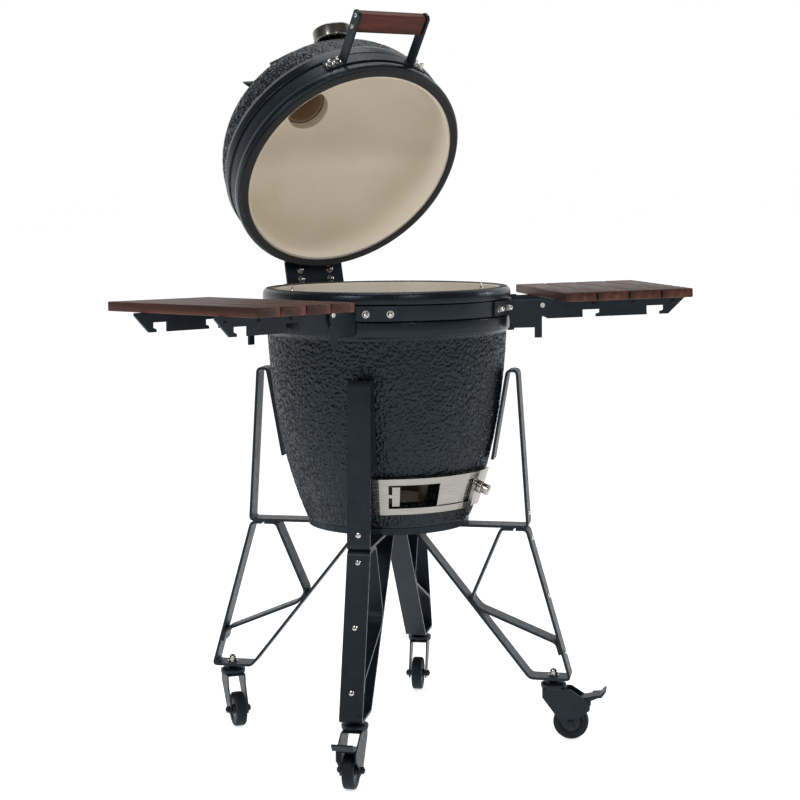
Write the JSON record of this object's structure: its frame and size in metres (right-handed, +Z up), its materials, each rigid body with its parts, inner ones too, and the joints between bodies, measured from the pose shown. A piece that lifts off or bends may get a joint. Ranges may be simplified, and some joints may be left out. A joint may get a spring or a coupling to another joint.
{
  "type": "kamado ceramic grill",
  "caption": "Ceramic kamado grill with an open hinged dome, draft door, cast vent and folding wooden side shelves, on a bent-bar stand with swivel casters.",
  "frame": {"origin": "on the floor under the middle of the grill as it stands with its lid open; the bowl's axis is 40 mm in front of it", "axes": "+Z up; -Y is the front, where the draft door and the lid handle are; +X is to the right of someone facing the front"},
  "size_m": [1.369, 0.9198, 1.638],
  "materials": {
    "glazed_ceramic": "dark dimpled glaze outside, pale matt glaze inside",
    "raw_ceramic": "unglazed, matt",
    "coated_steel": "black powder coat, fine texture",
    "cast_iron": "dark matt",
    "stainless": "brushed",
    "felt": "felt",
    "stained_wood": "dark oiled",
    "wheel": "matt"
  },
  "bodies": {
    "bowl_and_stand": {"ceramic_bowl": "glazed_ceramic", "base_band": "coated_steel", "firebox": "raw_ceramic", "fire_ring": "raw_ceramic", "draft_door_frame": "stainless", "hinge_base_plate": "coated_steel", "hinge_pin": "stainless", "hinge_spring_left": "coated_steel", "hinge_spring_right": "coated_steel", "stand_ring": "coated_steel", "shelf_mount_left": "coated_steel", "shelf_mount_right": "coated_steel", "leg_hoop_front_left": "coated_steel", "leg_frame_front_left": "coated_steel", "leg_brace_front_left": "coated_steel", "leg_hoop_front_right": "coated_steel", "leg_frame_front_right": "coated_steel", "leg_brace_front_right": "coated_steel", "leg_hoop_rear_right": "coated_steel", "leg_frame_rear_right": "coated_steel", "leg_brace_rear_right": "coated_steel", "leg_hoop_rear_left": "coated_steel", "leg_frame_rear_left": "coated_steel", "leg_brace_rear_left": "coated_steel"},
    "lid": {"ceramic_dome": "glazed_ceramic", "lid_gasket": "felt", "lid_band": "coated_steel", "vent_base": "cast_iron", "thermometer": "stainless", "handle_bracket": "coated_steel", "handle_grip": "stained_wood", "hinge_lid_plate": "coated_steel"},
    "vent": {"vent_cap": "cast_iron"},
    "slider": {"draft_slider": "stainless"},
    "screen": {"draft_screen": "stainless"},
    "lock": {"draft_lock_knob": "stainless"},
    "grate": {"cooking_grate": "stainless"},
    "coal_grate": {"charcoal_grate": "cast_iron"},
    "shelf_left": {"shelf_board_left_1": "stained_wood", "shelf_board_left_2": "stained_wood", "shelf_board_left_3": "stained_wood", "shelf_board_left_4": "stained_wood", "shelf_arm_left_rear": "coated_steel", "shelf_arm_left_front": "coated_steel"},
    "shelf_right": {"shelf_board_right_1": "stained_wood", "shelf_board_right_2": "stained_wood", "shelf_board_right_3": "stained_wood", "shelf_board_right_4": "stained_wood", "shelf_arm_right_rear": "coated_steel", "shelf_arm_right_front": "coated_steel"},
    "caster_front_left": {"caster_fork_front_left": "coated_steel"},
    "wheel_front_left": {"caster_wheel_front_left": "wheel"},
    "brake_front_left": {"caster_brake_front_left": "coated_steel"},
    "caster_front_right": {"caster_fork_front_right": "coated_steel"},
    "wheel_front_right": {"caster_wheel_front_right": "wheel"},
    "brake_front_right": {"caster_brake_front_right": "coated_steel"},
    "caster_rear_right": {"caster_fork_rear_right": "coated_steel"},
    "wheel_rear_right": {"caster_wheel_rear_right": "wheel"},
    "caster_rear_left": {"caster_fork_rear_left": "coated_steel"},
    "wheel_rear_left": {"caster_wheel_rear_left": "wheel"}
  },
  "joints": [
    {"name": "lid_hinge", "type": "hinge", "parent": "bowl_and_stand", "child": "lid", "pos_m": [0, 0.29, 1.01], "axis": [-1, 0, 0], "range_deg": [-54, 0]},
    {"name": "vent_turn", "type": "hinge", "parent": "lid", "child": "vent", "pos_m": [0, 0.39512, 1.49428], "axis": [0, 0.809, 0.5878], "range_deg": [0, 60]},
    {"name": "slider_slide", "type": "hinge", "parent": "bowl_and_stand", "child": "slider", "pos_m": [0, -0.04, 0.59], "axis": [0, 0, -1], "range_deg": [0, 22]},
    {"name": "screen_slide", "type": "hinge", "parent": "bowl_and_stand", "child": "screen", "pos_m": [0, -0.04, 0.59], "axis": [0, 0, -1], "range_deg": [0, 24]},
    {"name": "draft_lock_turn", "type": "hinge", "parent": "bowl_and_stand", "child": "lock", "pos_m": [0.11769, -0.23586, 0.58795], "axis": [0.4913, -0.8177, -0.3001], "range_deg": [0, 90]},
    {"name": "cooking_grate_lift", "type": "slide", "parent": "bowl_and_stand", "child": "grate", "axis": [0, 0, 1], "range_m": [0, 0.12]},
    {"name": "charcoal_grate_lift", "type": "slide", "parent": "bowl_and_stand", "child": "coal_grate", "axis": [0, 0, 1], "range_m": [0, 0.25]},
    {"name": "shelf_fold_left", "type": "hinge", "parent": "bowl_and_stand", "child": "shelf_left", "pos_m": [-0.3101, -0.15287, 0.988], "axis": [0.342, -0.9397, 0], "range_deg": [0, 88]},
    {"name": "shelf_fold_right", "type": "hinge", "parent": "bowl_and_stand", "child": "shelf_right", "pos_m": [0.3101, -0.15287, 0.988], "axis": [0.342, 0.9397, 0], "range_deg": [0, 88]},
    {"name": "caster_swivel_front_left", "type": "hinge", "parent": "bowl_and_stand", "child": "caster_front_left", "pos_m": [-0.25639, -0.3198, 0.13], "axis": [0, 0, 1], "continuous": true},
    {"name": "wheel_spin_front_left", "type": "hinge", "parent": "caster_front_left", "child": "wheel_front_left", "pos_m": [-0.28367, -0.34905, 0.04], "axis": [0.7314, -0.682, 0], "continuous": true},
    {"name": "brake_press_front_left", "type": "hinge", "parent": "caster_front_left", "child": "brake_front_left", "pos_m": [-0.29867, -0.36514, 0.09], "axis": [0.7314, -0.682, 0], "range_deg": [0, 8]},
    {"name": "caster_swivel_front_right", "type": "hinge", "parent": "bowl_and_stand", "child": "caster_front_right", "pos_m": [0.2798, -0.29639, 0.13], "axis": [0, 0, 1], "continuous": true},
    {"name": "wheel_spin_front_right", "type": "hinge", "parent": "caster_front_right", "child": "wheel_front_right", "pos_m": [0.30999, -0.32263, 0.04], "axis": [0.6561, 0.7547, 0], "continuous": true},
    {"name": "brake_press_front_right", "type": "hinge", "parent": "caster_front_right", "child": "brake_front_right", "pos_m": [0.32659, -0.33706, 0.09], "axis": [0.6561, 0.7547, 0], "range_deg": [0, 8]},
    {"name": "caster_swivel_rear_right", "type": "hinge", "parent": "bowl_and_stand", "child": "caster_rear_right", "pos_m": [0.25639, 0.2398, 0.13], "axis": [0, 0, 1], "continuous": true},
    {"name": "wheel_spin_rear_right", "type": "hinge", "parent": "caster_rear_right", "child": "wheel_rear_right", "pos_m": [0.23121, 0.20871, 0.04], "axis": [0.7771, -0.6293, 0], "continuous": true},
    {"name": "caster_swivel_rear_left", "type": "hinge", "parent": "bowl_and_stand", "child": "caster_rear_left", "pos_m": [-0.2798, 0.21639, 0.13], "axis": [0, 0, 1], "continuous": true},
    {"name": "wheel_spin_rear_left", "type": "hinge", "parent": "caster_rear_left", "child": "wheel_rear_left", "pos_m": [-0.28743, 0.17712, 0.04], "axis": [0.9816, -0.1908, 0], "continuous": true}
  ]
}
